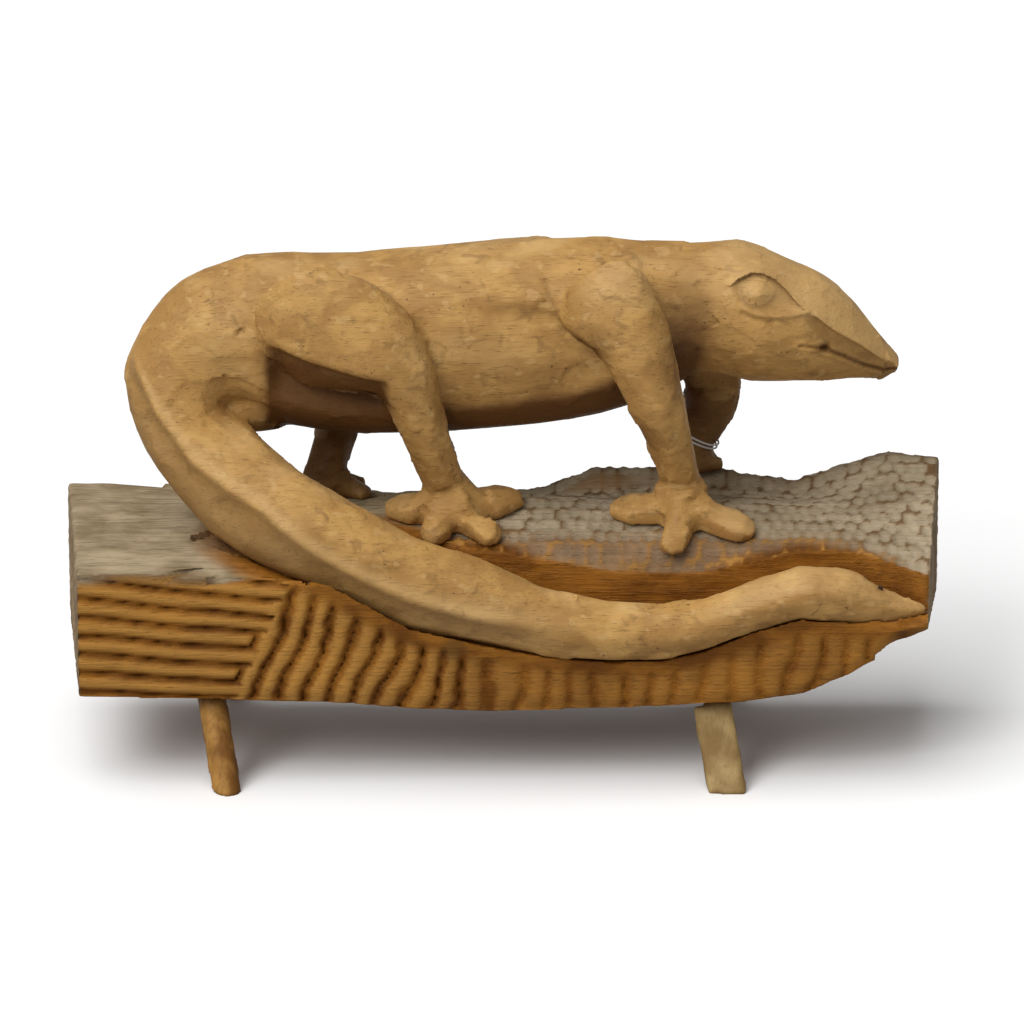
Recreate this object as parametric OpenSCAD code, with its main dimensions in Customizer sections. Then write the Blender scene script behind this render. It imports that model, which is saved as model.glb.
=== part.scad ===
// Carved wooden lizard standing on a carved log, which stands on four pegs.
// Sizes are in millimetres. X runs along the log to the head, Y to the back, Z up from the floor.

/* [Log] */
// length of the log along its back edge
log_length = 443; // [420:1:540]
// depth of the log from front to back
log_depth = 120; // [112:1:140]
// height of the log's underside above the floor
stand_h = 45; // [36:1:60]

/* [Lizard] */
// width of the trunk between the flat seats of the legs
trunk_w = 66; // [54:1:80]
// thickness of the tail where it bends down
tail_d = 56; // [46:1:68]
// thickness of a leg at the ankle
ankle_d = 20; // [17:1:24]

/* [Pegs] */
// diameter of the round pegs
peg_d = 14; // [11:1:17]
// width of the flat pegs
strip_w = 19; // [15:1:23]
// thickness of the flat pegs
strip_t = 9; // [7:1:11]
// diameter of the round tenon on a flat peg
tenon_d = 8; // [6:1:10]
// how far a peg goes into the log
peg_in = 18; // [12:1:22]

/* [Dowels] */
// diameter of the dowels that hold the legs to the trunk
hip_dowel_d = 10; // [8:1:12]
// how far a leg's dowel goes into the trunk
hip_dowel_in = 14; // [10:1:18]
// how far a leg's dowel goes into the leg
hip_dowel_out = 8; // [6:1:9]
// diameter of the dowels under the feet
foot_dowel_d = 6; // [5:1:8]
// length of the dowels under the feet
foot_dowel_len = 28; // [22:1:30]
// diameter of the dowel in the root of the tail
tail_dowel_d = 16; // [12:1:20]
// length of the dowel in the root of the tail
tail_dowel_len = 40; // [30:1:46]
// diameter of the nail near the tail's tip
nail_d = 2.4; // [2:0.2:3]
// clearance round every dowel and peg in its bore
bore_gap = 0.1; // [0.05:0.05:0.2]
// clearance of the tail over its carved channel
channel_gap = 0.9; // [0.8:0.05:0.95]

/* [Thread] */
// diameter of the white thread
thread_d = 1; // [0.8:0.1:1.4]
// distance between the two turns of thread
thread_pitch = 2; // [1.6:0.2:3]

/* [Hidden] */
$fn = 32;
ring_n = 28;
lift = stand_h - 45;
front_y = -60;
back_y = front_y + log_depth;
body_y = 22;
seat_near = body_y - trunk_w / 2;
seat_far = body_y + trunk_w / 2;
girth = tail_d / 56;
ankle = ankle_d / 20;
end_slant = 10;

// Trunk, neck and head: x, height of the middle, half height, half width.
trunk_rows = [
    [-128, 212, 39, 33],
    [-106, 208, 44, 38],
    [-73, 206, 46, 40],
    [-36, 208, 47.5, 40],
    [0, 211, 48, 40],
    [28, 214, 46.5, 40],
    [48, 217, 44, 39],
    [64, 219, 40, 36],
    [88, 223, 35, 29],
    [102, 225, 33, 26],
    [118, 224, 35, 29],
    [130, 221, 34, 30],
    [147, 217, 30, 27],
    [160, 214, 27, 24],
    [175, 208, 20, 18],
    [187, 200, 12, 12],
    [198, 195, 4, 5]
];

// Tail: x and height of its outer edge, x and height of its inner edge, y of its middle, half width.
tail_rows = [
    [-128, 251, -128, 173, 22, 33],
    [-160, 239, -133, 176, 20, 30],
    [-181, 216, -136, 178, 15, 28],
    [-189, 190, -135, 177, 8, 27],
    [-179, 160, -129, 173, -5, 26],
    [-158, 134, -121, 168, -17, 25],
    [-142, 120, -112, 162, -24, 25],
    [-119, 108, -101, 156, -34, 24],
    [-88, 97, -88, 150, -40, 22],
    [-46, 79, -46, 127, -47, 20],
    [-6, 72, -6, 114, -51, 17.5],
    [20, 68, 20, 102, -53, 15.5],
    [52, 65.5, 52, 95, -54, 14.5],
    [78, 66, 78, 93.5, -54, 14],
    [100, 71, 100, 96, -54, 13],
    [124, 80, 124, 105, -52, 13],
    [148, 85.5, 148, 112.5, -50, 13.5],
    [172, 83, 172, 110, -49, 13.5],
    [196, 83, 196, 97, -49, 8],
    [211, 88, 211, 92, -49, 2.5]
];
first_channel = 6;
first_level = 8;

// Log: the underside at the front, the underside at the back, then the height of the top at each of top_ys.
top_ys = [-60, -40, -28, -8, 10, 30, 42, 52, 60];
log_rows = [
    [46, 47, 112, 114, 115, 117, 118, 119, 119, 119, 118],
    [45, 46, 112, 114, 115, 117, 118, 118, 118, 118, 116],
    [45, 46, 112, 114, 116, 119, 120, 119, 118, 117, 115],
    [44, 45, 110, 114, 117, 121, 123, 121, 118, 116, 114],
    [43, 45, 108, 113, 117, 123, 126, 122, 118, 116, 114],
    [40, 44, 104, 111, 117, 124, 129, 124, 118, 114, 112],
    [38, 43, 102, 110, 117, 124, 130, 124, 117, 114, 112],
    [39, 43, 100, 107, 117, 124, 129, 123, 116, 119, 116],
    [40, 43, 98, 102, 117, 124, 127, 120, 117, 134, 124],
    [41, 43, 98, 102, 117, 124, 127, 120, 120, 134, 125],
    [43, 44, 100, 104, 118, 124, 127, 121, 121, 133, 126],
    [44, 45, 104, 109, 117, 124, 126, 121, 120, 127, 122],
    [47, 46, 108, 114, 118, 122, 124, 119, 117, 122, 120],
    [58, 48, 108, 114, 118, 122, 124, 124, 126, 131, 128],
    [76, 54, 104, 110, 116, 122, 127, 131, 135, 138, 135],
    [82, 60, 102, 108, 114, 121, 127, 131, 134, 135, 131]
];

// Legs: x, distance outside the trunk's seat, height, half thickness along x, half thickness along y.
rear_near = [
    [-120, -5, 221, 20, 9],
    [-100, 0, 224, 31, 16],
    [-79, 4, 222, 31, 18],
    [-59, 9, 212, 24, 18],
    [-47, 11, 198, 15, 14],
    [-41, 9, 180, 12, 12],
    [-35, 3, 160, 10.5, 10.5],
    [-30, -4, 143, 10.5, 10.5]
];
front_near = [
    [42, -3, 252, 14, 8],
    [50, 1, 241, 24, 13],
    [62, 5, 226, 20, 16],
    [69, 9, 211, 17, 15],
    [76, 11, 191, 14, 13.5],
    [83, 7, 169, 11, 11.5],
    [88, -2, 146, 10, 10]
];
rear_far = [
    [-106, -7, 234, 15, 8],
    [-101, -2, 223, 24, 13],
    [-93, 2, 206, 21, 14],
    [-86, 5, 187, 16, 13],
    [-82, 5, 168, 12, 11.5],
    [-84, 2, 149, 10.5, 10],
    [-89, -3, 132, 10, 10]
];
front_far = [
    [46, -4, 246, 15, 8],
    [60, 0, 232, 21, 12],
    [78, 3, 214, 19, 13],
    [96, 5, 194, 16, 13],
    [106, 5, 176, 14.5, 12.5],
    [104, 3, 158, 12.5, 11.5],
    [97, -1, 143, 10, 10]
];
// Feet: x, y, height and slope of the sole, each toe's direction and length, and the height of the toes.
rear_near_foot = [-28, -9, 123, 18, [[-38, 34], [-112, 25], [170, 33], [22, 42]], 11];
front_near_foot = [90, -9, 123, 18, [[-22, 40], [-102, 32], [172, 38]], 11];
rear_far_foot = [-90, 50, 115, -6, [[-25, 26], [-140, 24], [35, 24], [110, 20]], 9];
front_far_foot = [94, 52, 129, 0, [[-10, 18], [75, 20], [180, 17]], 7];
palm_r = 13;
toe_half = 26;
log_cut_up = 16;

// Dowel places: x and height.
hip_rear_near = [-84, 214];
hip_rear_far = [-97, 214];
hip_front_near = [56, 226];
hip_front_far = [62, 226];
nail_x = 188;
thread_at = [97.8, 144.4];
thread_slack = 1.3;
thread_lean = 26;

// Pegs: x at the log, x at the foot, y at the log, y at the foot.
peg_left_x = [-146, -138];
peg_right_x = [104, 112];
peg_y = [44, 68];

// ---- functions ----

function unit(v) = v / norm(v);
function mean(ring) = ([for (p = ring) 1] * ring) / len(ring);
function row_at(rows, i) = rows[max(0, min(len(rows) - 1, i))];

// A smooth curve through rows of numbers, with the given number of steps between neighbours.
function smooth_rows(rows, steps) = [
    for (i = [0 : len(rows) - 2], k = [0 : steps - 1])
        let (t = k / steps, a = row_at(rows, i - 1), b = rows[i], c = rows[i + 1], d = row_at(rows, i + 2))
        b + 0.5 * t * ((c - a) + t * (2 * a - 5 * b + 4 * c - d + t * (3 * b - a - 3 * c + d))),
    rows[len(rows) - 1]
];

// Rings square to a route; each row is x, y, z, half size in the plane of x and z, half size along y.
function route_ring(rows, i) =
    let (
        here = rows[i],
        along = unit([for (k = [0 : 2]) row_at(rows, i + 1)[k] - row_at(rows, i - 1)[k]]),
        side = unit([0, 1, 0] - along[1] * along),
        up = cross(along, side)
    )
    [for (j = [0 : ring_n - 1]) let (a = 360 * j / ring_n)
        [here[0], here[1], here[2]] + up * here[3] * cos(a) + side * here[4] * sin(a)];

// The bend is rounded between its rows; along the log the tail keeps the rows that the channel is cut to.
function tail_route() = concat(
    smooth_rows([for (i = [0 : first_level]) tail_rows[i]], 3),
    [for (i = [first_level + 1 : len(tail_rows) - 1]) tail_rows[i]]
);

function tail_ring(r) =
    let (
        middle = [(r[0] + r[2]) / 2, r[4], (r[1] + r[3]) / 2],
        outward = [(r[0] - r[2]) / 2, 0, (r[1] - r[3]) / 2] * girth
    )
    [for (j = [0 : ring_n - 1]) let (a = 360 * j / ring_n)
        middle + outward * cos(a) + [0, r[5] * girth * sin(a), 0]];

// Toes: how far the outline of a foot reaches in the direction a.
function turn_between(a, b) = abs((a - b + 540) % 360 - 180);
function toe_reach(toes, a) = max([
    for (toe = toes) let (w = turn_between(a, toe[0]) / toe_half)
        w < 1 ? palm_r + (toe[1] - palm_r) * sqrt(1 - w * w) : palm_r
]);

function foot_ring(foot, up, spread, grow) =
    let (tilt = foot[3])
    [for (j = [0 : ring_n - 1])
        let (a = 360 * j / ring_n, r = palm_r * ankle * (1 - spread) * grow + toe_reach(foot[4], a) * spread)
        [foot[0], foot[1], foot[2]] + [r * cos(a), r * sin(a) * cos(tilt), r * sin(a) * sin(tilt)]
            + up * [0, -sin(tilt), cos(tilt)]];

function leg_route(rows, side) = [
    for (r = smooth_rows(rows, 3))
        [r[0], side < 0 ? seat_near - r[1] : seat_far + r[1], r[2], r[3] * ankle, r[4] * ankle]
];

// The height of the log's plain top at y, for one row.
function top_z(row, y) = lookup(y, [for (k = [0 : len(top_ys) - 1]) [top_ys[k], row[k + 2]]]);

function channel_floor(t, y) =
    let (
        half_z = (t[3] - t[1]) / 2 * girth + channel_gap,
        half_y = t[5] * girth + channel_gap,
        mid = (t[1] + t[3]) / 2,
        across = min(1, abs(y - t[4]) / half_y)
    )
    mid - half_z * sqrt(1 - across * across);

// One ring of the log; t is the tail's row above it, or undef where the tail is clear.
function log_ring(x, row, t, slant) =
    let (
        half_y = t == undef ? 20 : t[5] * girth + channel_gap,
        mid_y = t == undef ? -40 : t[4],
        from = -asin(min(0.99, (mid_y - front_y) / half_y)),
        wall_y = mid_y + half_y,
        saddle = [for (k = [0 : 13])
            let (y = mid_y + half_y * sin(from + (90 - from) * k / 13))
            [y, t == undef ? top_z(row, y) : min(top_z(row, y), channel_floor(t, y))]],
        plain = [for (k = [0 : 11])
            let (y = wall_y + 1.5 + (back_y - wall_y - 1.5) * k / 11)
            [y, top_z(row, y * (y > 0 ? 60 / back_y : 1))]],
        front = [[front_y + 2, row[0]], [front_y, row[0] + 6], [front_y, saddle[0][1] - 6]],
        back = [[back_y + 1, row[1] + 40], [back_y, row[1] + 6], [back_y - 3, row[1]], [0, (row[0] + row[1]) / 2]]
    )
    [for (p = concat(front, saddle, plain, back))
        [x + slant * (back_y - p[0]) / log_depth, p[0], p[1]]];

// ---- shapes ----

// A closed skin over rings of points, all with the same count.
module skin(rings) {
    n = len(rings[0]);
    last = len(rings) - 1;
    points = concat([for (r = rings) each r], [mean(rings[0]), mean(rings[last])]);
    sides = [for (i = [0 : last - 1], j = [0 : n - 1], half = [0, 1])
        let (a = i * n + j, b = i * n + (j + 1) % n)
        half == 0 ? [a, b, b + n] : [a, b + n, a + n]];
    start_cap = [for (j = [0 : n - 1]) [(j + 1) % n, j, n * (last + 1)]];
    end_cap = [for (j = [0 : n - 1]) [last * n + j, last * n + (j + 1) % n, n * (last + 1) + 1]];
    polyhedron(points = points, faces = concat(sides, start_cap, end_cap), convexity = 8);
}

// A rod along a direction, from a point, as a solid or as its bore.
module rod(from, to, d, gap = 0) {
    v = to - from;
    len_v = norm(v);
    translate(from)
        rotate([0, acos(v[2] / len_v), atan2(v[1], v[0])])
            rotate([0, 0, 37])
                translate([0, 0, -gap])
                    cylinder(d = d + 2 * gap, h = len_v + 2 * gap, $fn = 48);
}

// side is -1 on the near side of the trunk and 1 on the far side.
module hip_dowel(place, side, gap = 0) {
    seat = side < 0 ? seat_near : seat_far;
    rod([place[0], seat - side * hip_dowel_in, place[1]],
        [place[0], seat + side * hip_dowel_out, place[1]], hip_dowel_d, gap);
}

module foot_dowel(foot, gap = 0) {
    rod([foot[0], foot[1], foot[2] - foot_dowel_len / 2],
        [foot[0], foot[1], foot[2] + foot_dowel_len / 2], foot_dowel_d, gap);
}

module tail_dowel_rod(gap = 0) {
    root = tail_rows[0];
    z = (root[1] + root[3]) / 2;
    rod([root[0] - tail_dowel_len / 2, root[4], z], [root[0] + tail_dowel_len / 2, root[4], z], tail_dowel_d, gap);
}

module nail_rod(gap = 0) {
    rod([nail_x, -49, 72], [nail_x, -49, 102], nail_d, gap);
}

// ---- log and pegs ----

module log_blank() {
    left = -log_length / 2;
    right = log_length / 2;
    last = len(tail_rows) - 1;
    rings = concat(
        [log_ring(left, log_rows[0], undef, end_slant)],
        [log_ring(left + 50, log_rows[1], undef, 0)],
        [for (i = [first_channel : last - 1])
            log_ring(tail_rows[i][0], log_rows[i - first_channel + 2], tail_rows[i], 0)],
        [log_ring(right, log_rows[len(log_rows) - 1], tail_rows[last], -end_slant)]
    );
    skin(rings);
}

// A flat land on the log for one foot.
module foot_land(foot) {
    translate([foot[0], foot[1], foot[2]])
        rotate([foot[3], 0, 0])
            cylinder(r = 46, h = log_cut_up, $fn = 48);
}

module log_base() {
    color("peru")
        difference() {
            log_blank();
            for (foot = [rear_near_foot, front_near_foot, rear_far_foot, front_far_foot]) {
                foot_land(foot);
                foot_dowel(foot, bore_gap);
            }
            for (x = [peg_left_x, peg_right_x], side = [-1, 1])
                peg_rod(x, side, x == peg_left_x ? peg_d : tenon_d, bore_gap);
            nail_rod(bore_gap);
        }
}

function peg_foot(x, side) = [x[1], side * peg_y[1], -lift];
function peg_seat(x, side) = [x[0], side * peg_y[0], 42];
function peg_line(x, side) = unit(peg_seat(x, side) - peg_foot(x, side));

module peg_rod(x, side, d, gap = 0) {
    up = peg_line(x, side);
    rod(peg_foot(x, side) - 6 * up, peg_seat(x, side) + peg_in * up, d, gap);
}

module floor_cut() {
    translate([-500, -500, -lift - 100])
        cube([1000, 1000, 100]);
}

module round_peg(side) {
    color("goldenrod")
        difference() {
            peg_rod(peg_left_x, side, peg_d);
            floor_cut();
        }
}

// A flat peg is a strip with a round tenon.
module flat_peg(side) {
    up = peg_line(peg_right_x, side);
    foot = peg_foot(peg_right_x, side);
    seat = peg_seat(peg_right_x, side);
    len_p = norm(seat - foot);
    color("burlywood")
        difference() {
            union() {
                peg_rod(peg_right_x, side, tenon_d);
                translate(foot)
                    rotate([0, acos(up[2]), atan2(up[1], up[0])])
                        rotate([0, 0, -atan2(up[1], up[0])])
                            translate([0, 0, -6])
                                strip(len_p + 1);
            }
            floor_cut();
        }
}

module strip(h) {
    r = strip_t / 3;
    x = strip_w / 2 - r;
    y = strip_t / 2 - r;
    union() {
        translate([-x, -strip_t / 2, 0]) cube([2 * x, strip_t, h]);
        translate([-strip_w / 2, -y, 0]) cube([strip_w, 2 * y, h]);
        for (sx = [-1, 1], sy = [-1, 1])
            translate([sx * x, sy * y, 0]) cylinder(r = r, h = h, $fn = 24);
    }
}

// ---- lizard ----

module lizard_body() {
    rows = [for (r = smooth_rows(trunk_rows, 2)) [r[0], body_y, r[1], r[2], r[3]]];
    last = len(rows) - 1;
    rings = [for (i = [0 : last])
        [for (j = [0 : ring_n - 1]) let (a = 360 * j / ring_n)
            [rows[i][0], body_y + rows[i][4] * sin(a), rows[i][2] + rows[i][3] * cos(a)]]];
    color("goldenrod")
        difference() {
            skin(rings);
            translate([-300, seat_near - 100, 100]) cube([600, 100, 300]);
            translate([-300, seat_far, 100]) cube([600, 100, 300]);
            hip_dowel(hip_front_near, -1, bore_gap);
            hip_dowel(hip_rear_near, -1, bore_gap);
            hip_dowel(hip_front_far, 1, bore_gap);
            hip_dowel(hip_rear_far, 1, bore_gap);
            tail_dowel_rod(bore_gap);
        }
}

module tail() {
    color("goldenrod")
        difference() {
            skin([for (r = tail_route()) tail_ring(r)]);
            tail_dowel_rod(bore_gap);
            nail_rod(bore_gap);
        }
}

// A leg with its foot in one skin, cut flat where it meets the trunk.
module leg(rows, foot, side, hip) {
    route = leg_route(rows, side);
    seat = side < 0 ? seat_near : seat_far;
    rings = concat(
        [for (i = [0 : len(route) - 1]) route_ring(route, i)],
        [foot_ring(foot, foot[5], 0.25, 0.9), foot_ring(foot, foot[5] * 0.7, 0.8, 1),
            foot_ring(foot, foot[5] * 0.3, 1, 1), foot_ring(foot, 0, 0.95, 1)]
    );
    color("darkgoldenrod")
        difference() {
            skin(rings);
            translate([-300, side < 0 ? seat : seat - 100, 168]) cube([600, 100, 300]);
            hip_dowel(hip, side, bore_gap);
            foot_dowel(foot, bore_gap);
        }
}

module leg_front_near() {
    leg(front_near, front_near_foot, -1, hip_front_near);
}

module leg_rear_near() {
    leg(rear_near, rear_near_foot, -1, hip_rear_near);
}

module leg_front_far() {
    leg(front_far, front_far_foot, 1, hip_front_far);
}

module leg_rear_far() {
    leg(rear_far, rear_far_foot, 1, hip_rear_far);
}

// Two turns of thread round the far front ankle.
module ankle_thread() {
    ring_r = ankle_d / 2 + thread_d / 2 + thread_slack;
    color("white")
        for (k = [0, 1])
            translate([thread_at[0] + thread_pitch * sin(thread_lean) * k, seat_far - 0.1,
                    thread_at[1] + thread_pitch * cos(thread_lean) * k])
                rotate([0, thread_lean, 0])
                    rotate_extrude($fn = 48)
                        translate([ring_r, 0]) circle(d = thread_d, $fn = 16);
}

module placed() {
    translate([0, 0, lift]) children();
}

placed() log_base();
placed() round_peg(-1);  // peg_front_left
placed() flat_peg(-1);  // peg_front_right
placed() round_peg(1);  // peg_back_left
placed() flat_peg(1);  // peg_back_right
placed() lizard_body();
placed() tail();
placed() leg_front_near();
placed() leg_rear_near();
placed() leg_front_far();
placed() leg_rear_far();
placed() color("wheat") hip_dowel(hip_front_near, -1);  // hip_dowel_front_near
placed() color("wheat") hip_dowel(hip_rear_near, -1);  // hip_dowel_rear_near
placed() color("wheat") hip_dowel(hip_front_far, 1);  // hip_dowel_front_far
placed() color("wheat") hip_dowel(hip_rear_far, 1);  // hip_dowel_rear_far
placed() color("wheat") foot_dowel(front_near_foot);  // foot_dowel_front_near
placed() color("wheat") foot_dowel(rear_near_foot);  // foot_dowel_rear_near
placed() color("wheat") foot_dowel(front_far_foot);  // foot_dowel_front_far
placed() color("wheat") foot_dowel(rear_far_foot);  // foot_dowel_rear_far
placed() color("wheat") tail_dowel_rod();  // tail_dowel
placed() color("gray") nail_rod();  // tail_nail
placed() ankle_thread();
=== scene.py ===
import math
import random

import bpy
import numpy as np
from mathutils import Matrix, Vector, kdtree, noise


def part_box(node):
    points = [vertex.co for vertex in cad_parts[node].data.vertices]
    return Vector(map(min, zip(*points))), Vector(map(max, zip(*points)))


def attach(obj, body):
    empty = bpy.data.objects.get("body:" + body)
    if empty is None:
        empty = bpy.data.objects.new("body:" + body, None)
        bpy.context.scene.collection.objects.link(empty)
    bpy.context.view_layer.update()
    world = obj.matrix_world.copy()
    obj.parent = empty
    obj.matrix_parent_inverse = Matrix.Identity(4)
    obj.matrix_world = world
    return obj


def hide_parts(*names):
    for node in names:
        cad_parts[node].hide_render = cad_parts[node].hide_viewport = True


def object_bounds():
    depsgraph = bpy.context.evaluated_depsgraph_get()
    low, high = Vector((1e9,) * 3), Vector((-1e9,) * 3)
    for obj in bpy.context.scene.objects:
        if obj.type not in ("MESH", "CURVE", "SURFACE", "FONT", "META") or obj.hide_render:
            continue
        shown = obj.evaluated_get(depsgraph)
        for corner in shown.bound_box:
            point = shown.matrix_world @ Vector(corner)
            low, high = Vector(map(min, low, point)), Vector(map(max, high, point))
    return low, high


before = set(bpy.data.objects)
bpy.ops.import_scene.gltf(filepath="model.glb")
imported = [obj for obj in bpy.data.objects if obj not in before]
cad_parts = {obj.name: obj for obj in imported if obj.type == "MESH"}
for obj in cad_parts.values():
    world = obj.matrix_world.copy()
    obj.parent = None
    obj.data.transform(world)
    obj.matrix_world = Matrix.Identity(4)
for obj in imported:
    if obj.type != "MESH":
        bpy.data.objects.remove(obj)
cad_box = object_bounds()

MM = 0.001
SKIN_VOXEL = 1.5 * MM
LOG_VOXEL = 1.5 * MM
LEGS = ("leg_front_near", "leg_rear_near", "leg_front_far", "leg_rear_far")
DOWELS = [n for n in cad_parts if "dowel" in n]

LOG_LOW, LOG_HIGH = (np.array(c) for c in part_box("log_base"))
BODY_LOW, BODY_HIGH = (np.array(c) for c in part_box("lizard_body"))
BODY_MIDDLE = (BODY_LOW + BODY_HIGH) / 2
CHANNEL_START = 5
CHANNEL_END = 11
SPLIT_LEGS_BY = 2.2
SPLIT_TAIL_BY = 3.5
MOULD_VOXEL = 2.0 * MM


# ---------------------------------------------------------------- bench tools

def pick(*objects):
    """Selects only these objects, the first one active."""
    bpy.ops.object.select_all(action="DESELECT")
    for o in objects:
        o.select_set(True)
    bpy.context.view_layer.objects.active = objects[0]


def finish_modifier(piece, kind, **settings):
    pick(piece)
    m = piece.modifiers.new(kind.title(), kind)
    for key, value in settings.items():
        setattr(m, key, value)
    bpy.ops.object.modifier_apply(modifier=m.name)


def copy_of(name, *nodes):
    """One new object from copies of CAD nodes, with their doubles merged."""
    copies = []
    for node in nodes:
        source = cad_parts[node]
        o = bpy.data.objects.new(name, source.data.copy())
        o.matrix_world = source.matrix_world
        bpy.context.scene.collection.objects.link(o)
        o.data.materials.clear()
        copies.append(o)
    pick(*copies)
    if len(copies) > 1:
        bpy.ops.object.join()
    piece = bpy.context.view_layer.objects.active
    piece.name = name
    bpy.ops.object.transform_apply(location=True, rotation=True, scale=True)
    edit_all(piece)
    bpy.ops.mesh.remove_doubles(threshold=0.00001)
    bpy.ops.object.mode_set(mode="OBJECT")
    return piece


def edit_all(piece):
    pick(piece)
    bpy.ops.object.mode_set(mode="EDIT")
    bpy.ops.mesh.select_all(action="SELECT")


def duplicate(piece, name):
    o = piece.copy()
    o.data = piece.data.copy()
    o.name = name
    bpy.context.scene.collection.objects.link(o)
    return o


def one_skin(piece, voxel, smooth):
    """Joins overlapping shells into one even skin and drops any pocket shut inside."""
    finish_modifier(piece, "REMESH", mode="VOXEL", voxel_size=voxel, adaptivity=0)
    pick(piece)
    bpy.ops.mesh.separate(type="LOOSE")
    shells = sorted(bpy.context.selected_objects, key=lambda o: -len(o.data.vertices))
    for o in shells[1:]:
        bpy.data.objects.remove(o)
    kept = shells[0]
    if smooth:
        finish_modifier(kept, "SMOOTH", factor=0.5, iterations=smooth)
    return kept


def points_of(piece):
    p = np.empty(len(piece.data.vertices) * 3)
    piece.data.vertices.foreach_get("co", p)
    return p.reshape(-1, 3)


def normals_of(piece):
    n = np.empty(len(piece.data.vertices) * 3)
    piece.data.vertices.foreach_get("normal", n)
    return n.reshape(-1, 3)


def place_points(piece, p):
    piece.data.vertices.foreach_set("co", p.ravel())
    piece.data.update()


def paint(piece, name, values):
    """Stores a number from 0 to 1 on each point for the finish to read."""
    a = piece.data.attributes.get(name) or piece.data.attributes.new(name, "FLOAT", "POINT")
    a.data.foreach_set("value", np.clip(values, 0, 1).astype(np.float32))


def ramp(x, low, high):
    t = np.clip((x - low) / (high - low), 0, 1)
    return t * t * (3 - 2 * t)


def waver(p, size, seed=0.0):
    """Smooth noise from -1 to 1 at each point; size is a length or one for each axis."""
    q = p / np.array(size) + seed
    return np.array([noise.noise(Vector(v)) for v in q])


def tree_of(p):
    t = kdtree.KDTree(len(p))
    for i, v in enumerate(p):
        t.insert(v, i)
    t.balance()
    return t


def line_gap(p, route):
    """Distance of points from a broken line, in the line's own number of dimensions."""
    best = np.full(len(p), 1e9)
    for a, b in zip(route[:-1], route[1:]):
        a, b = np.array(a, float), np.array(b, float)
        t = np.clip(((p - a) @ (b - a)) / ((b - a) @ (b - a)), 0, 1)
        best = np.minimum(best, np.linalg.norm(p - a - t[:, None] * (b - a), axis=1))
    return best


def bell(gap, width):
    return np.exp(-(gap / width) ** 2)


def chip_flats(p, n, spacing, strength, seed, stretch=(1, 1, 1)):
    """Flattens small patches, as a gouge does; returns moved points and how near each is to a patch's edge."""
    rnd = random.Random(seed)
    stretch = np.array(stretch)
    q = p / (np.array([spacing] * 3) * stretch)
    cells = {}
    order = list(range(len(p)))
    rnd.shuffle(order)
    for i in order:
        cells.setdefault(tuple(np.floor(q[i]).astype(int)), i)
    seeds = np.array(list(cells.values()))
    t = tree_of(q[seeds])
    moved = p.copy()
    edge = np.zeros(len(p))
    for i in range(len(p)):
        (_, a, da), (_, b, db) = t.find_n(q[i], 2)
        s = seeds[a]
        if n[i] @ n[s] > 0.6:
            moved[i] = p[i] - ((p[i] - p[s]) @ n[s]) * n[s] * strength
        edge[i] = 1 - min(1, (db - da) / 0.25)
    return moved, edge


def finish(piece, material, slot, *nodes, angle=40):
    pick(piece)
    bpy.ops.object.shade_smooth_by_angle(angle=math.radians(angle))
    piece.data.materials.clear()
    piece.data.materials.append(material)
    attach(piece, "root")
    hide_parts(*nodes)


# ---------------------------------------------------------------- finishes

class Wire:
    """A shader socket that does sums."""

    def __init__(self, shop, socket):
        self.shop = shop
        self.socket = socket

    def sum(self, operation, a, b=0.0):
        return self.shop.node("ShaderNodeMath", {"operation": operation}, {0: a, 1: b})

    def __add__(self, other):
        return self.sum("ADD", self, other)

    def __sub__(self, other):
        return self.sum("SUBTRACT", self, other)

    def __mul__(self, other):
        return self.sum("MULTIPLY", self, other)

    def __rsub__(self, other):
        return self.sum("SUBTRACT", other, self)

    __radd__ = __add__
    __rmul__ = __mul__


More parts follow.
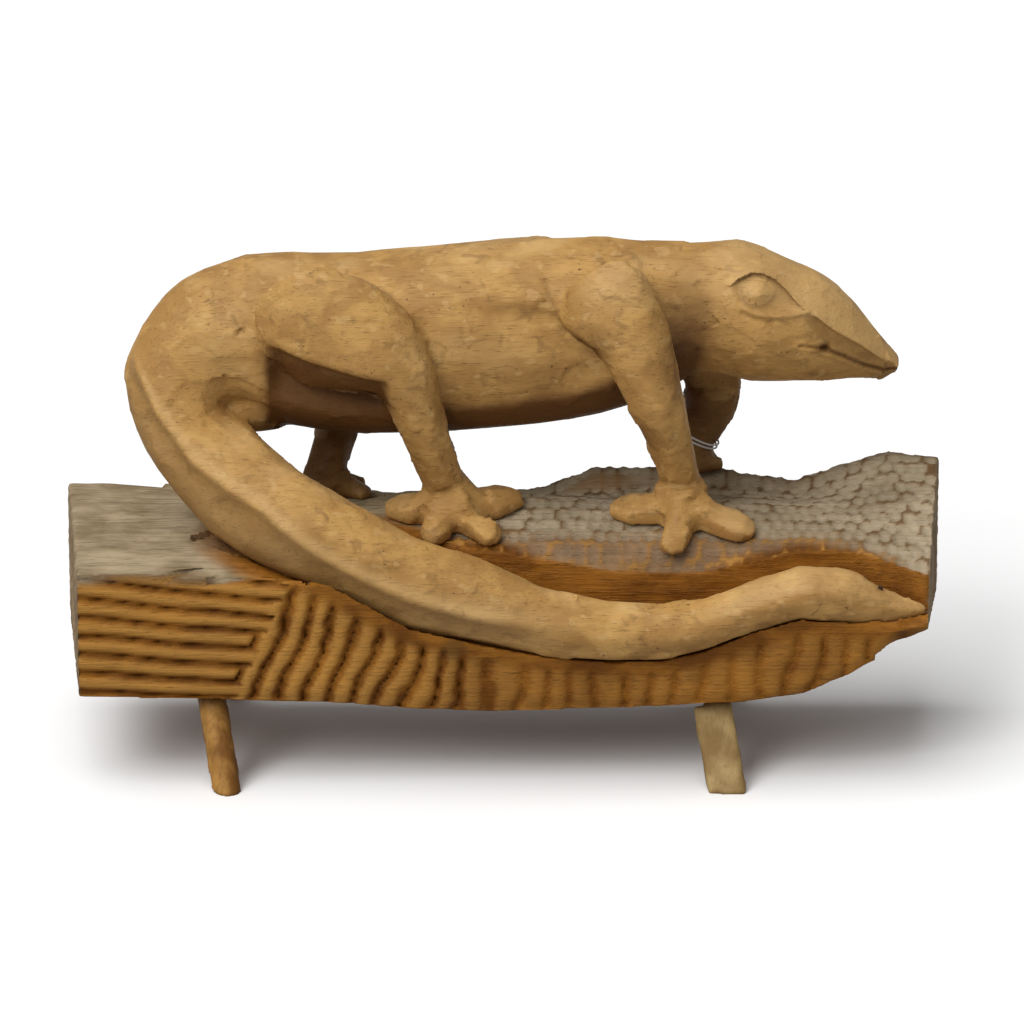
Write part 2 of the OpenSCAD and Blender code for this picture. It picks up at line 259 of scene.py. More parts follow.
class Shop:
    """The node tree of one finish."""

    def __init__(self, name):
        self.material = bpy.data.materials.new(name)
        self.material.use_nodes = True
        self.tree = self.material.node_tree
        self.shader = self.tree.nodes["Principled BSDF"]
        self.place = self.node("ShaderNodeTexCoord", {}, {}, out="Object")

    def node(self, kind, settings, inputs, out=0):
        n = self.tree.nodes.new(kind)
        for key, value in settings.items():
            if key == "stops":
                self.set_stops(n.color_ramp, value)
            else:
                setattr(n, key, value)
        for key, value in inputs.items():
            self.feed(n.inputs[key], value)
        return Wire(self, n.outputs[out])

    def feed(self, socket, value):
        if isinstance(value, Wire):
            self.tree.links.new(value.socket, socket)
        else:
            socket.default_value = value

    @staticmethod
    def set_stops(ramp_, stops):
        while len(ramp_.elements) < len(stops):
            ramp_.elements.new(0.5)
        for element, (at, value) in zip(ramp_.elements, stops):
            element.position = at
            element.color = (value, value, value, 1)

    def stretched(self, scale):
        """Places scaled so that a pattern has these sizes, in millimetres, along each axis."""
        return self.node("ShaderNodeMapping", {}, {"Vector": self.place, "Scale": [1000 / s for s in scale]})

    def grain(self, scale, detail=3.0, rough=0.55, twist=0.0):
        return self.node("ShaderNodeTexNoise", {}, {"Vector": self.stretched(scale), "Scale": 1.0,
                         "Detail": detail, "Roughness": rough, "Distortion": twist}, out="Fac")

    def step(self, value, low, high, top=1.0):
        return self.node("ShaderNodeMapRange", {"interpolation_type": "SMOOTHSTEP"},
                         {"Value": value, "From Min": low, "From Max": high, "To Min": 0.0, "To Max": top})

    def painted(self, name):
        return self.node("ShaderNodeAttribute", {"attribute_name": name}, {}, out="Fac")

    def blend(self, share, a, b, way="MIX"):
        n = self.tree.nodes.new("ShaderNodeMix")
        n.data_type = "RGBA"
        n.blend_type = way
        self.feed(n.inputs[0], share)
        for socket, value in ((n.inputs[6], a), (n.inputs[7], b)):
            self.feed(socket, value if isinstance(value, Wire) else (*value, 1))
        return Wire(self, n.outputs[2])

    def bump(self, height, depth, strength=1.0, under=None):
        inputs = {"Height": height, "Distance": depth, "Strength": strength}
        if under:
            inputs["Normal"] = under
        return self.node("ShaderNodeBump", {}, inputs, out="Normal")

    def wear(self, **sockets):
        for key, value in sockets.items():
            name = key.replace("_", " ")
            self.feed(self.shader.inputs[name], value if isinstance(value, (Wire, float)) else (*value, 1))
        return self.material


GOLD = (0.53, 0.300, 0.092)
PALE_GOLD = (0.62, 0.400, 0.165)
TAN = (0.38, 0.200, 0.058)
OIL_AND_SHADE_DARK = (0.115, 0.045, 0.010)
RED_BROWN = (0.090, 0.030, 0.005)
UMBER = (0.230, 0.125, 0.040)
FLECK = (0.070, 0.036, 0.014)
ORANGE_BROWN = (0.320, 0.125, 0.015)
DEEP_ORANGE = (0.150, 0.050, 0.005)
GREY_BEIGE = (0.430, 0.335, 0.210)
DARK_GREY = (0.130, 0.100, 0.058)
GREENISH = (0.050, 0.036, 0.014)


def lizard_wood():
    """Golden tan wood with level pores, mottling and dark flecks; painted shade in the hollows, on the snout's
    lower plane and on the tail's lower facet; darker stain with painted shade underneath; painted light on tops
    and ridges.
    """
    s = Shop("lizard_wood")
    mottle = s.grain((26, 26, 18), 4.0, 0.6, 0.4)
    clouds = s.grain((70, 50, 45), 2.0)
    pores = s.grain((9, 0.9, 0.9), 3.0, 0.6)
    streaks = s.grain((60, 4, 3.2), 3.0, 0.6)
    specks = s.grain((2.6, 2.0, 2.0), 2.0, 0.5)
    where = s.grain((22, 22, 16), 2.0)
    colour = s.blend(s.step(mottle, 0.36, 0.66), TAN, GOLD)
    colour = s.blend(s.step(clouds, 0.50, 0.72, 0.40), colour, PALE_GOLD)
    colour = s.blend(s.step(streaks, 0.50, 0.72, 0.40), colour, TAN)
    colour = s.blend(s.step(s.grain((13, 13, 9), 3.0, 0.6, 0.8), 0.56, 0.70, 0.55), colour, UMBER)
    colour = s.blend(s.step(s.grain((7, 7, 5), 1.0), 0.62, 0.70, 0.35), colour, PALE_GOLD)
    colour = s.blend(s.step(pores, 0.58, 0.72, 0.42), colour, OIL_AND_SHADE_DARK)
    colour = s.blend(s.step(specks, 0.66, 0.72) * s.step(where, 0.50, 0.62, 0.8), colour, FLECK)
    # painted shade on the snout's lower plane and the tail's lower facet, darker stain with painted shade
    # underneath, painted shade in the hollows, painted light on tops and ridges
    colour = s.blend(s.painted("shade") * 0.6, colour, UMBER)
    colour = s.blend(s.painted("patina") * 0.9, colour, RED_BROWN)
    colour = s.blend(s.painted("hollow") * 0.85, colour, OIL_AND_SHADE_DARK)
    colour = s.blend(s.painted("rub") * 0.45, colour, PALE_GOLD)
    relief = s.bump(s.step(pores, 0.5, 0.75), 0.0004, 0.5)
    relief = s.bump(mottle, 0.0012, 0.35, relief)
    return s.wear(Base_Color=colour, Roughness=0.42 + 0.2 * mottle, Normal=relief, Specular_IOR_Level=0.2)


def log_wood():
    """Waxed orange-brown on the carved front, weathered grey-beige on top, rough end grain."""
    s = Shop("log_wood")
    grey = s.painted("grey")
    cut = s.painted("cut")
    mottle = s.grain((34, 22, 20), 4.0, 0.6, 0.3)
    fibres = s.grain((46, 1.8, 1.8), 4.0, 0.65)
    pores = s.grain((8, 0.8, 0.8), 2.0, 0.6)
    patches = s.grain((38, 26, 26), 3.0, 0.6)
    front = s.blend(s.step(mottle, 0.34, 0.68), DEEP_ORANGE, ORANGE_BROWN)
    front = s.blend(s.step(fibres, 0.52, 0.74, 0.35), front, DEEP_ORANGE)
    # painted light on the crests of the front's gouge ridges, more towards the left, and painted shade in their
    # grooves
    front = s.blend(s.painted("crest") * 0.75, front, (0.500, 0.250, 0.055))
    front = s.blend(cut * 0.8, front, (0.060, 0.019, 0.002))
    top = s.blend(s.step(patches, 0.34, 0.66), (0.235, 0.170, 0.092), GREY_BEIGE)
    top = s.blend(s.step(fibres, 0.50, 0.72, 0.5), top, DARK_GREY)
    # on top, darker brown on the ridges between the petal cuts and lighter inside the cuts
    top = s.blend(s.painted("crest") * 0.85, top, (0.135, 0.066, 0.024))
    top = s.blend(cut * 0.8, top, (0.460, 0.380, 0.270))
    colour = s.blend(grey, front, top)
    colour = s.blend(s.step(pores, 0.60, 0.74, 0.45), colour, (0.040, 0.020, 0.008))
    colour = s.blend(s.painted("knot") * 0.4, colour, GREENISH)
    # painted shade under the far rim and on the down-facing sides of the tail's channel, and darker end-grain
    # pits
    colour = s.blend(s.painted("hollow") * 0.8, colour, (0.055, 0.028, 0.010))
    relief = s.bump(s.step(fibres, 0.4, 0.75), 0.0008, 0.6)
    relief = s.bump(s.step(pores, 0.5, 0.75), 0.0004, 0.5, relief)
    return s.wear(Base_Color=colour, Roughness=0.38 + 0.34 * grey + 0.12 * mottle, Normal=relief,
                  Specular_IOR_Level=0.1)


def peg_wood(name, pale, deep):
    """Whittled wood with its grain along the peg."""
    s = Shop(name)
    fibres = s.grain((1.6, 1.6, 30), 4.0, 0.6)
    mottle = s.grain((14, 14, 22), 3.0)
    colour = s.blend(s.step(mottle, 0.34, 0.66), deep, pale)
    colour = s.blend(s.step(fibres, 0.50, 0.70, 0.5), colour, deep)
    # painted shade at the peg's top under the log and at its foot
    colour = s.blend(s.painted("hollow") * 0.8, colour, (0.050, 0.022, 0.006))
    return s.wear(Base_Color=colour, Roughness=0.5 + 0.15 * fibres, Normal=s.bump(fibres, 0.0008, 0.6),
                  Specular_IOR_Level=0.2)


def raw_dowel():
    s = Shop("raw_dowel")
    fibres = s.grain((1.2, 1.2, 24), 3.0)
    colour = s.blend(s.step(fibres, 0.4, 0.7), (0.62, 0.46, 0.28), (0.44, 0.30, 0.16))
    return s.wear(Base_Color=colour, Roughness=0.62, Normal=s.bump(fibres, 0.0004, 0.5))


def dull_nail():
    s = Shop("dull_nail")
    rust = s.grain((1.2, 1.2, 1.2), 4.0, 0.7)
    colour = s.blend(s.step(rust, 0.35, 0.65), (0.050, 0.035, 0.028), (0.120, 0.050, 0.022))
    return s.wear(Base_Color=colour, Roughness=0.5 + 0.3 * rust, Metallic=0.6, Normal=s.bump(rust, 0.0003, 0.5))


def white_thread():
    s = Shop("white_thread")
    fuzz = s.grain((0.5, 0.5, 0.5), 2.0)
    colour = s.blend(s.step(fuzz, 0.3, 0.7), (0.80, 0.80, 0.79), (0.62, 0.61, 0.59))
    return s.wear(Base_Color=colour, Roughness=0.85, Normal=s.bump(fuzz, 0.0002, 0.7))


# ---------------------------------------------------------------- camera, floor and lamps

def set_camera():
    """A long lens, 20 degrees above level, square to the log."""
    lean = math.radians(20)
    target = Vector((0.0045, 0, 0.1235))
    reach = 4.5
    data = bpy.data.cameras.new("camera")
    data.lens = 315
    cam = bpy.data.objects.new("camera", data)
    cam.location = target + reach * Vector((0, -math.cos(lean), math.sin(lean)))
    cam.rotation_euler = (math.pi / 2 - lean, 0, 0)
    bpy.context.scene.collection.objects.link(cam)
    bpy.context.scene.camera = cam


def white_floor():
    bpy.ops.object.select_all(action="DESELECT")
    bpy.ops.mesh.primitive_plane_add(size=12, location=(0, 0, 0))
    floor = bpy.context.object
    floor.name = "floor"
    s = Shop("white_floor")
    seen = s.node("ShaderNodeLightPath", {}, {}, out="Is Camera Ray")
    colour = s.blend(seen, (0.50, 0.50, 0.50), (0.99, 0.99, 0.99))
    floor.data.materials.append(s.wear(Base_Color=colour, Roughness=0.9))


def lamp(name, at, spread, strength):
    """Even soft light from one side; spread is how wide the source looks, in degrees."""
    data = bpy.data.lights.new(name, "SUN")
    data.angle = math.radians(spread)
    data.energy = strength
    o = bpy.data.objects.new(name, data)
    o.location = at
    o.rotation_euler = (-Vector(at)).to_track_quat("-Z", "Y").to_euler()
    bpy.context.scene.collection.objects.link(o)


def set_light():
    lamp("overhead", (-0.5, -0.3, 1.5), 55, 2.0)
    lamp("front_left", (-1.0, -1.5, 1.4), 30, 1.25)
    world = bpy.data.worlds.new("studio")
    bpy.context.scene.world = world
    world.use_nodes = True
    nodes, links = world.node_tree.nodes, world.node_tree.links
    room = nodes["Background"]
    room.inputs["Strength"].default_value = 0.26
    room.inputs["Color"].default_value = (1, 1, 1, 1)
    white = nodes.new("ShaderNodeBackground")
    white.inputs["Strength"].default_value = 1.0
    path = nodes.new("ShaderNodeLightPath")
    either = nodes.new("ShaderNodeMixShader")
    links.new(path.outputs["Is Camera Ray"], either.inputs[0])
    links.new(room.outputs[0], either.inputs[1])
    links.new(white.outputs[0], either.inputs[2])
    links.new(either.outputs[0], nodes["World Output"].inputs[0])


# ---------------------------------------------------------------- the log

def front_gouges(p):
    """Depth of the carving on the log's front in millimetres, and how near each point is to a cut."""
    x, z = p[:, 0] / MM, p[:, 2] / MM
    wob = waver(p, (0.03, 0.05, 0.03), 3.0)
    fine = waver(p, (0.008, 0.02, 0.006), 8.0)
    level = (z + (0.05 + 0.0013 * (z - 48)) * (x + 211) + 0.9 * wob + 0.3 * fine) / 9.9
    steep = (x - 0.31 * z + 5 * wob + 1.3 * fine) / 12.5
    upright = (x - 0.12 * z + 6 * wob + 1.0 * fine) / 13.5
    split = -136 + (z - 52) * 0.48 + 5 * (np.floor(level) % 2) + 2 * wob
    in_level = 1 - ramp(x, split - 1.5, split + 1.5)
    in_steep = (1 - in_level) * (1 - ramp(x, -30, 0))
    in_upright = 1 - in_level - in_steep
    depth = np.zeros(len(p))
    groove = np.zeros(len(p))
    for share, phase, cut in ((in_level, level, 3.8), (in_steep, steep, 4.2), (in_upright, upright, 2.4)):
        hump = np.sqrt(np.abs(np.sin(math.pi * phase)))
        depth += share * cut * (1 - hump)
        groove += share * (1 - hump) * min(1, cut / 3.6)
    return depth, groove


def petal_dimples(p, reach, seed):
    """Concave petal cuts on a jittered grid; returns 0 between them and 1 in the middle of each."""
    rnd = random.Random(seed)
    wide, deep = 6.2 * MM, 8.6 * MM
    left = LOG_LOW[0]
    seats = []
    for i in range(int((LOG_HIGH[0] - left) / wide)):
        for j in range(int(0.13 / deep)):
            x = left + (i + 0.5 * (j % 2) + rnd.uniform(-0.22, 0.22)) * wide
            y = -0.065 + (j + rnd.uniform(-0.22, 0.22)) * deep
            seats.append((x / wide, y / deep, 0))
    t = tree_of(seats)
    q = np.column_stack((p[:, 0] / wide, p[:, 1] / deep, np.zeros(len(p))))
    gap = np.array([t.find(v)[2] for v in q])
    return np.clip(1 - (gap / reach) ** 2, 0, 1)


def carve_log(log_wood_finish):
    log = copy_of("carved_log", "log_base", *[d for d in DOWELS if d.startswith("foot")], "tail_nail")
    log = one_skin(log, LOG_VOXEL, 3)
    log.name = "carved_log"
    p, n = points_of(log), normals_of(log)
    x, y, z = (p / MM).T

    front = ramp(-n[:, 1], 0.35, 0.8) * (1 - ramp(y, -50, -40))
    top = ramp(n[:, 2], 0.3, 0.7) * ramp(z, 70, 90)
    back = ramp(n[:, 1], 0.4, 0.8)
    under = ramp(-n[:, 2], 0.4, 0.8)
    ends = ramp(np.abs(n[:, 0]), 0.5, 0.85)
    # the channel is the smooth hollow that the tail lies in
    tail_side = np.array([tail_tree.find(v)[2] for v in p]) / MM
    channel = 1 - ramp(tail_side, CHANNEL_START, CHANNEL_END)

    depth, groove = front_gouges(p)
    fade = 1 - channel
    p[:, 1] += front * fade * depth * MM
    hewn, edges = chip_flats(p, n, 17 * MM, 0.55, 5, (2.2, 1, 1))
    # the hewing stops short of the sawn ends, so that their edges stay crisp
    rough = np.clip(back + under + top * (1 - ramp(x, -45, -20)), 0, 1)[:, None]
    rough = rough * (1 - ramp(np.abs(x), 200, 212))[:, None]
    p = p * (1 - rough) + hewn * rough
    fibre = waver(p, (0.05, 0.0035, 0.0035), 2.0)
    p += n * (rough[:, 0] * fibre * 0.55 * MM)[:, None]

    petals = petal_dimples(p, 0.62, 11)
    dimpled = top * ramp(x, -45, -18) * fade * (1 - ends)
    p[:, 2] -= dimpled * petals * 1.5 * MM
    knot = bell(line_gap(np.column_stack((x, z)), [(-26, 72), (-24, 74)]), 7) * front
    p[:, 1] -= knot * 0.5 * MM
    end_noise = waver(p, (0.006, 0.004, 0.004), 6.0)
    p += n * (ends * end_noise * 0.5 * MM)[:, None]
    p = np.clip(p, LOG_LOW, LOG_HIGH)
    place_points(log, p)

    soft = waver(p, (0.03, 0.02, 0.02), 9.0)
    left_patch = (1 - ramp(x + 14 * soft, -175, -120)) * ramp(z + 4 * soft, 104, 112)
    grey = np.clip(top * ramp(tail_side + 6 * soft, 9, 20) + back * 0.7 + ends * 0.75 + left_patch, 0, 1)
    slope = ramp(-y + 5 * soft, 14, 30) * ramp(x, -40, 0) * (1 - ramp(x, 150, 190))
    grey *= 1 - 0.65 * slope * top
    paint(log, "grey", grey * (1 - under))
    # the front's gouge grooves are painted as shade and their crests as light; on top, lighter petal cuts with
    # darker brown ridges between; lighter chip edges on the back
    paint(log, "cut", front * fade * ramp(groove, 0.45, 0.95) + dimpled * petals * 0.7 + back * edges * 0.2)
    gold = ramp(1 - groove, 0.70, 0.98) * (1 - 0.6 * ramp(x, -110, 40))
    paint(log, "crest", front * fade * gold + dimpled * (1 - ramp(petals, 0.05, 0.35)))
    paint(log, "knot", ramp(knot, 0.35, 0.8))
    # painted shade under the far rim and on the down-facing sides of the tail's channel; dark pits on the end
    # grain
    far_rim = 0.5 * top * ramp(y, 44, 54) * ramp(x, 0, 20)
    pits = ends * ramp(end_noise, 0.2, 0.5) * 0.6
    paint(log, "hollow", far_rim + channel * ramp(-n[:, 2] + 0.3, 0.2, 0.8) + pits)
    finish(log, log_wood_finish, "log_wood", "log_base", angle=60)


# ---------------------------------------------------------------- the lizard

def bulge(middle, halves):
    """An egg of wood that fills out a hollow between CAD solids."""
    bpy.ops.object.select_all(action="DESELECT")
    bpy.ops.mesh.primitive_uv_sphere_add(segments=64, ring_count=32, radius=1, location=middle)
    o = bpy.context.object
    bpy.ops.object.mode_set(mode="EDIT")
    bpy.ops.transform.resize(value=halves)
    bpy.ops.object.mode_set(mode="OBJECT")
    bpy.ops.object.transform_apply(location=True)
    return o


def along(x, route):
    """The height of a drawn line at x."""
    a = np.array(route, float)
    return np.interp(x, a[:, 0], a[:, 1])


def eye_socket(x, z):
    """An almond hollow under the brow with a soft ball in it, as a height over the cheek in millimetres; also
    the painted shade under the ball, in the almond and along the brow.
    """
    upper = [(112.8, 243.4), (117.4, 247.1), (123.7, 249.3), (129.3, 248.8), (135.6, 245.4), (141.2, 240.3),
             (146.8, 233.8), (151.7, 229.9)]
    lower = [(112.8, 243.4), (114.5, 238.5), (118, 234.4), (125, 231), (135.6, 229.2), (144, 229),
             (151.7, 229.9)]
    over, under = along(x, upper) - z, z - along(x, lower)
    width = ramp(x, 112.5, 118) * (1 - ramp(x, 144, 152))
    inside = ramp(over, -0.2, 1.3) * ramp(under, -0.5, 6) * width
    ball = np.hypot((x - 127.2) / 7.8, (z - 240.6) / 6.0)
    height = -2.6 * inside + 4.0 * bell(ball, 0.85)
    q = np.column_stack((x, z))
    up, low = line_gap(q, upper), line_gap(q, lower)
    height += 0.9 * bell(up, 1.6) * (over < 0) + 1.0 * bell(low, 1.3) * ramp(x, 117, 122)
    height -= 0.9 * bell(line_gap(q, [(119, 230.5), (125, 227.8), (134, 226)]), 1.2)
    # painted shade under the ball, in the almond around it and along the brow
    below = bell(ball - 1.1, 0.22) * ramp(242 - z, -2, 5)
    brow_line = bell(over - 0.8, 1.0) * width * (over > -0.6)
    shade = np.clip(0.45 * below + 0.30 * inside * (ball > 1) + 0.7 * brow_line, 0, 1)
    return height, shade


RIDGE = [(151, 230.2), (156.6, 227.7), (163.7, 221.4), (177.7, 211.6), (188.2, 202.7), (197.5, 196)]
MOUTH = [(148, 213), (154, 212.2), (160, 210.5), (170.7, 204.9), (181.2, 198.4), (190.3, 194.2), (198, 193.4)]


def carve_head(p, n):
    """Eyes, mouth, drilled corner and the planes of the snout, alike on both sides; also painted shade in the
    hollows and below the ridge, and a painted light band just above it.
    """
    x, y, z = (p / MM).T
    side = np.where(y < BODY_MIDDLE[1] / MM, -1.0, 1.0)
    facing = ramp(n[:, 1] * side, 0.05, 0.4) * ramp(x, 100, 106)
    height, shade = eye_socket(x, z)
    q = np.column_stack((x, z))
    mouth = line_gap(q, MOUTH) + 0.7 * (x < 158)
    corner = np.hypot((x - 161) / 1.3, z - 211)
    snout = ramp(x, 149, 157)
    drop = along(x, RIDGE) - z
    plane = ramp(drop, 0, 2.2) * (1 - ramp(drop, 6, 13)) * snout * (1 - 0.5 * ramp(x, 180, 198))
    push = height + 1.5 * bell(drop, 2.4) * snout - 2.4 * plane
    push = push - 1.5 * bell(mouth, 0.9) - 3.0 * bell(corner, 2.2)
    lip = 0.6 * bell(mouth - 2.4, 1.2)
    p = p.copy()
    p[:, 1] += side * facing * (push + lip) * MM
    # painted shade in the eye, the mouth line and the drilled corner and on the plane below the ridge; painted
    # light in a band just above the ridge
    hollow = facing * np.clip(shade + 0.9 * bell(mouth, 1.0) + bell(corner, 2.4), 0, 1)
    under = facing * snout * ramp(drop, 0, 1.5) * (1 - 0.6 * ramp(drop, 8, 20))
    rub = facing * bell(drop + 2, 3) * snout
    return p, hollow, rub, under


def tail_ridge(p, n):
    """The long edge between the tail's lit upper facet and its lower one, with painted light along the edge and
    painted shade on the lower facet.
    """
    x, y, z = (p / MM).T
    edge = [(-189, 214), (-184, 203), (-172, 183), (-155, 163), (-138, 152), (-120, 143), (-96, 126),
            (-80, 116.5), (-64, 108.5), (-40, 99), (-8, 91), (25, 86)]
    drop = (along(x, edge) - z) * 0.85
    live = ramp(-n[:, 1], 0.0, 0.4) * (1 - ramp(x, -10, 30)) * (1 - ramp(y, 2, 12)) * (x < 40)
    live = live * (1 - ramp(z, 190, 212))
    flat = 3.4 * bell(drop - 9, 7.5) * (drop > -4)
    p = p.copy()
    p[:, 1] -= live * (1.7 * bell(drop, 3.0) - flat) * MM
    # painted light along the edge and painted shade on the lower facet
    return p, live * bell(drop + 3, 3), live * ramp(drop, -0.5, 2.5)


HAUNCH = [(-122, 220), (-110, 217), (-96, 212.5), (-80, 209), (-68, 206.5), (-54, 205.5)]


def under_haunch(p, n):
    """The thigh ends in a ledge; the trunk below it is set back, and painted darker there as shade with stain.
    """
    x, y, z = (p / MM).T
    drop = along(x, HAUNCH) - z
    near = ramp(-n[:, 1], -0.1, 0.3) * (1 - ramp(y, 4, 14))
    reach = ramp(x, -120, -110) * (1 - ramp(x, -62, -55))
    reach = reach * ramp(z, 160, 167)
    ledge = near * reach * ramp(drop, -0.5, 3.5)
    p = p.copy()
    p[:, 1] += ledge * (1 - ramp(drop, 14, 36)) * 7.5 * MM
    p[:, 1] -= near * reach * 0.8 * bell(drop + 3, 2.5) * MM
    # the ledge is later painted dark as shade with stain, and the line along it as painted shade
    return p, ledge, near * reach * bell(drop - 1, 1.4)


def crease_lines(p, n):
    """The shoulder's crease, the elbow's crack, and the patch at the tail's root, with painted shade along
    them.
    """
    x, _, z = (p / MM).T
    q = np.column_stack((x, z))
    near = ramp(-n[:, 1], 0.1, 0.5)
    lines = (
        ([(21, 247), (25, 236), (31, 224)], 0.9, 2.0),
        ([(53, 227), (61, 223), (68, 220)], 0.7, 0.9),
        ([(-140, 231), (-131, 221), (-127, 206)], 0.4, 1.2),
        ([(-152, 226), (-141, 221), (-132, 226)], 0.3, 1.0)
    )
    depth = np.zeros(len(p))
    for route, deep, wide in lines:
        depth += deep * bell(line_gap(q, route), wide)
    p = p.copy()
    p[:, 1] += near * depth * MM
    # the creases are painted as shade
    return p, near * ramp(depth, 0.3, 1.4) * 0.7


def carve_lizard(material):
    skin = copy_of("lizard", "lizard_body", "tail", *LEGS, *DOWELS, "tail_nail")
    flank = bulge((BODY_MIDDLE[0] - 0.058, BODY_MIDDLE[1], BODY_MIDDLE[2] - 0.0015), (0.128, 0.0395, 0.0465))
    rump = bulge((BODY_LOW[0] + 0.004, BODY_LOW[1] + 0.031, BODY_LOW[2] + 0.017), (0.026, 0.020, 0.016))
    pick(skin, flank, rump)
    bpy.ops.object.join()
    skin = one_skin(skin, SKIN_VOXEL, 9)
    # the head gets a finer mesh than the rest
    pick(skin)
    for face in skin.data.polygons:
        face.select = face.center.x > 0.104 and face.center.z > 0.185 and face.center.y < 0.06
    bpy.ops.object.mode_set(mode="EDIT")
    bpy.ops.mesh.subdivide(number_cuts=1, smoothness=0.0)
    bpy.ops.object.mode_set(mode="OBJECT")

    p, n = points_of(skin), normals_of(skin)
    p, facets = chip_flats(p, n, 11 * MM, 0.55, 3, (1.6, 1, 1))
    p, hollow, rub, snout_side = carve_head(p, n)
    p, ridge, tail_side = tail_ridge(p, n)
    p, haunch, ledge_line = under_haunch(p, n)
    p, creases = crease_lines(p, n)
    x, y, z = (p / MM).T
    scar = np.hypot(x - 188, y + 49) + np.where(z < 88, 50, 0)
    p[:, 2] -= 2.2 * bell(scar, 2.2) * MM
    # the far shoulder slopes away below the line of the back
    shoulder = ramp(x, 20, 30) * (1 - ramp(x, 100, 112)) * ramp(y, 24, 32)
    slope = BODY_HIGH[2] - 0.38 * (p[:, 1] - BODY_MIDDLE[1]) - 0.001
    p[:, 2] -= shoulder * np.maximum(p[:, 2] - slope, 0)
    cap = np.array(cad_box)
    p = np.clip(p, cap[0], cap[1])
    place_points(skin, p)
    # painted shade with darker stain on the underside, under the thigh, on the far side and the far legs;
    # painted shadow on the neck
    soft = waver(p, (0.02, 0.02, 0.014), 4.0)
    trunk = ramp(x, -126, -112) * (1 - ramp(x, 88, 104)) * ramp(z, 154, 162)
    off_legs = ramp(y, -14, -9)
    low = along(x, [(-110, 216), (-60, 204), (-30, 189), (30, 191), (60, 200), (90, 214)]) + 3 * soft - z
    below = np.maximum(ramp(-n[:, 2], 0.3, 0.8), ramp(low, -4, 6) * off_legs) * trunk
    inner = ramp(n[:, 1], 0.3, 0.8) * (1 - ramp(y, 14, 20)) * (1 - ramp(z, 160, 175)) * ramp(z, 118, 124)
    far_legs = ramp(y, 30, 42) * (1 - ramp(z, 160, 185))
    neck = bell(np.hypot((x - 92) / 1.0, (z - 218) / 1.6), 14) * ramp(-n[:, 1], 0.0, 0.5)
    patina = np.clip(below + 0.9 * haunch + 0.5 * inner + 0.75 * far_legs + 0.85 * neck, 0, 1)
    # painted shade in the eye, mouth, creases, scar and along chip edges, and on the snout's lower plane and
    # the tail's lower facet; painted light on the ridges, on upward faces and on top of the head
    marks = {
        "hollow": np.clip(hollow + creases + ledge_line + bell(scar, 2.6) + 0.08 * facets, 0, 1),
        "shade": np.clip(snout_side * 0.7 + tail_side, 0, 1),
        "patina": np.clip(patina + 0.35 * ramp(soft, 0.15, 0.5) * ramp(-n[:, 2], -0.2, 0.5), 0, 1),
        "rub": np.clip(rub + ridge + ramp(n[:, 2], 0.75, 1.0) * ramp(soft, 0, 0.4)
                       + 0.9 * ramp(x, 100, 116) * ramp(n[:, 2], 0.15, 0.5) * (1 - snout_side), 0, 1)
    }
    memory = tree_of(p)
    for node in LEGS + ("tail",):
        mould = inflated(node, SPLIT_TAIL_BY if node == "tail" else SPLIT_LEGS_BY)
        piece = duplicate(skin, node + "_carved")
        finish_modifier(piece, "BOOLEAN", operation="INTERSECT", solver="MANIFOLD", object=mould)
        finish_modifier(skin, "BOOLEAN", operation="DIFFERENCE", solver="MANIFOLD", object=mould)
        bpy.data.objects.remove(mould)
        dress(piece, memory, marks, material, node)
    dress(skin, memory, marks, material, "lizard_body")


def inflated(node, by):
    """A mould a little larger than a CAD node, to part the carved skin with."""
    mould = copy_of("mould", node)
    mould = one_skin(mould, MOULD_VOXEL, 0)
    p, n = points_of(mould), normals_of(mould)
    place_points(mould, p + n * by * MM)
    return one_skin(mould, MOULD_VOXEL, 0)


def drop_crumbs(piece):
    """Keeps the main solid and removes slivers left by parting."""
    pick(piece)
    bpy.ops.mesh.separate(type="LOOSE")
    parts = sorted(bpy.context.selected_objects, key=lambda o: -len(o.data.vertices))
    name = piece.name
    for o in parts[1:]:
        bpy.data.objects.remove(o)
    parts[0].name = name
    return parts[0]


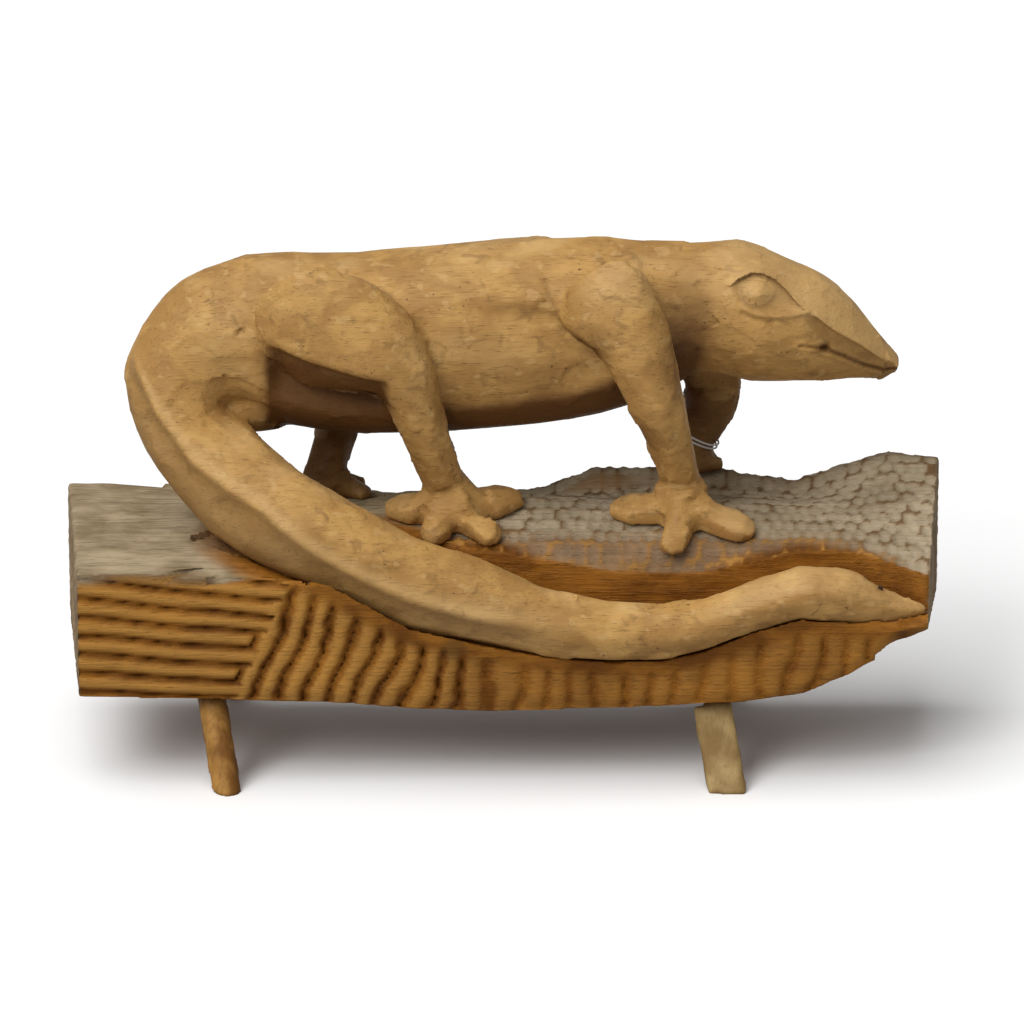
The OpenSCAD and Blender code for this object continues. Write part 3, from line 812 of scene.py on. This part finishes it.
def dress(piece, memory, marks, material, node):
    name = node + "_carved"
    piece = drop_crumbs(piece)
    piece.name = name
    near = [memory.find(v)[1] for v in points_of(piece)]
    for key, values in marks.items():
        paint(piece, key, values[near])
    finish(piece, material, "lizard_wood", node, angle=50)


# ---------------------------------------------------------------- pegs, dowels, nail and thread

def whittle(node, name, voxel, material, slot, chips, seed):
    """A peg with knife flats and softened edges."""
    piece = one_skin(copy_of(name, node), voxel, 2)
    piece.name = name
    p, n = points_of(piece), normals_of(piece)
    moved, _ = chip_flats(p, n, chips, 0.28, seed, (0.6, 0.6, 4))
    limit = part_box(node)
    moved = np.clip(moved, limit[0], limit[1])
    place_points(piece, moved)
    z = moved[:, 2] / MM
    # painted shade at the top, where the peg goes in under the log, and at the foot on the floor
    paint(piece, "hollow", ramp(z, 34, 46) * 0.9 + (1 - ramp(z, 0, 2)) * 0.5)
    finish(piece, material, slot, node, angle=50)


def all_pegs():
    golden = peg_wood("golden_peg", (0.42, 0.215, 0.050), (0.185, 0.075, 0.014))
    pale = peg_wood("pale_peg", (0.42, 0.290, 0.120), (0.245, 0.150, 0.052))
    for k, side in enumerate(("front", "back")):
        whittle(f"peg_{side}_left", f"round_peg_{side}", 1.1 * MM, golden, "peg_wood", 7 * MM, 20 + k)
        whittle(f"peg_{side}_right", f"flat_peg_{side}", 1.0 * MM, pale, "peg_wood", 8 * MM, 30 + k)


def hidden_fixings():
    dowel, nail = raw_dowel(), dull_nail()
    for name in DOWELS:
        dress_node(name, dowel)
    dress_node("tail_nail", nail)


def dress_node(name, material):
    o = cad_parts[name]
    o.data.materials.clear()
    o.data.materials.append(material)


set_camera()
white_floor()
set_light()
tail_copy = copy_of("tail_gauge", "tail")
finish_modifier(tail_copy, "REMESH", mode="VOXEL", voxel_size=2.5 * MM, adaptivity=0)
tail_tree = tree_of(points_of(tail_copy))
bpy.data.objects.remove(tail_copy)
carve_log(log_wood())
carve_lizard(lizard_wood())
all_pegs()
hidden_fixings()
dress_node("ankle_thread", white_thread())

view = bpy.context.scene.view_settings
view.view_transform = "Standard"
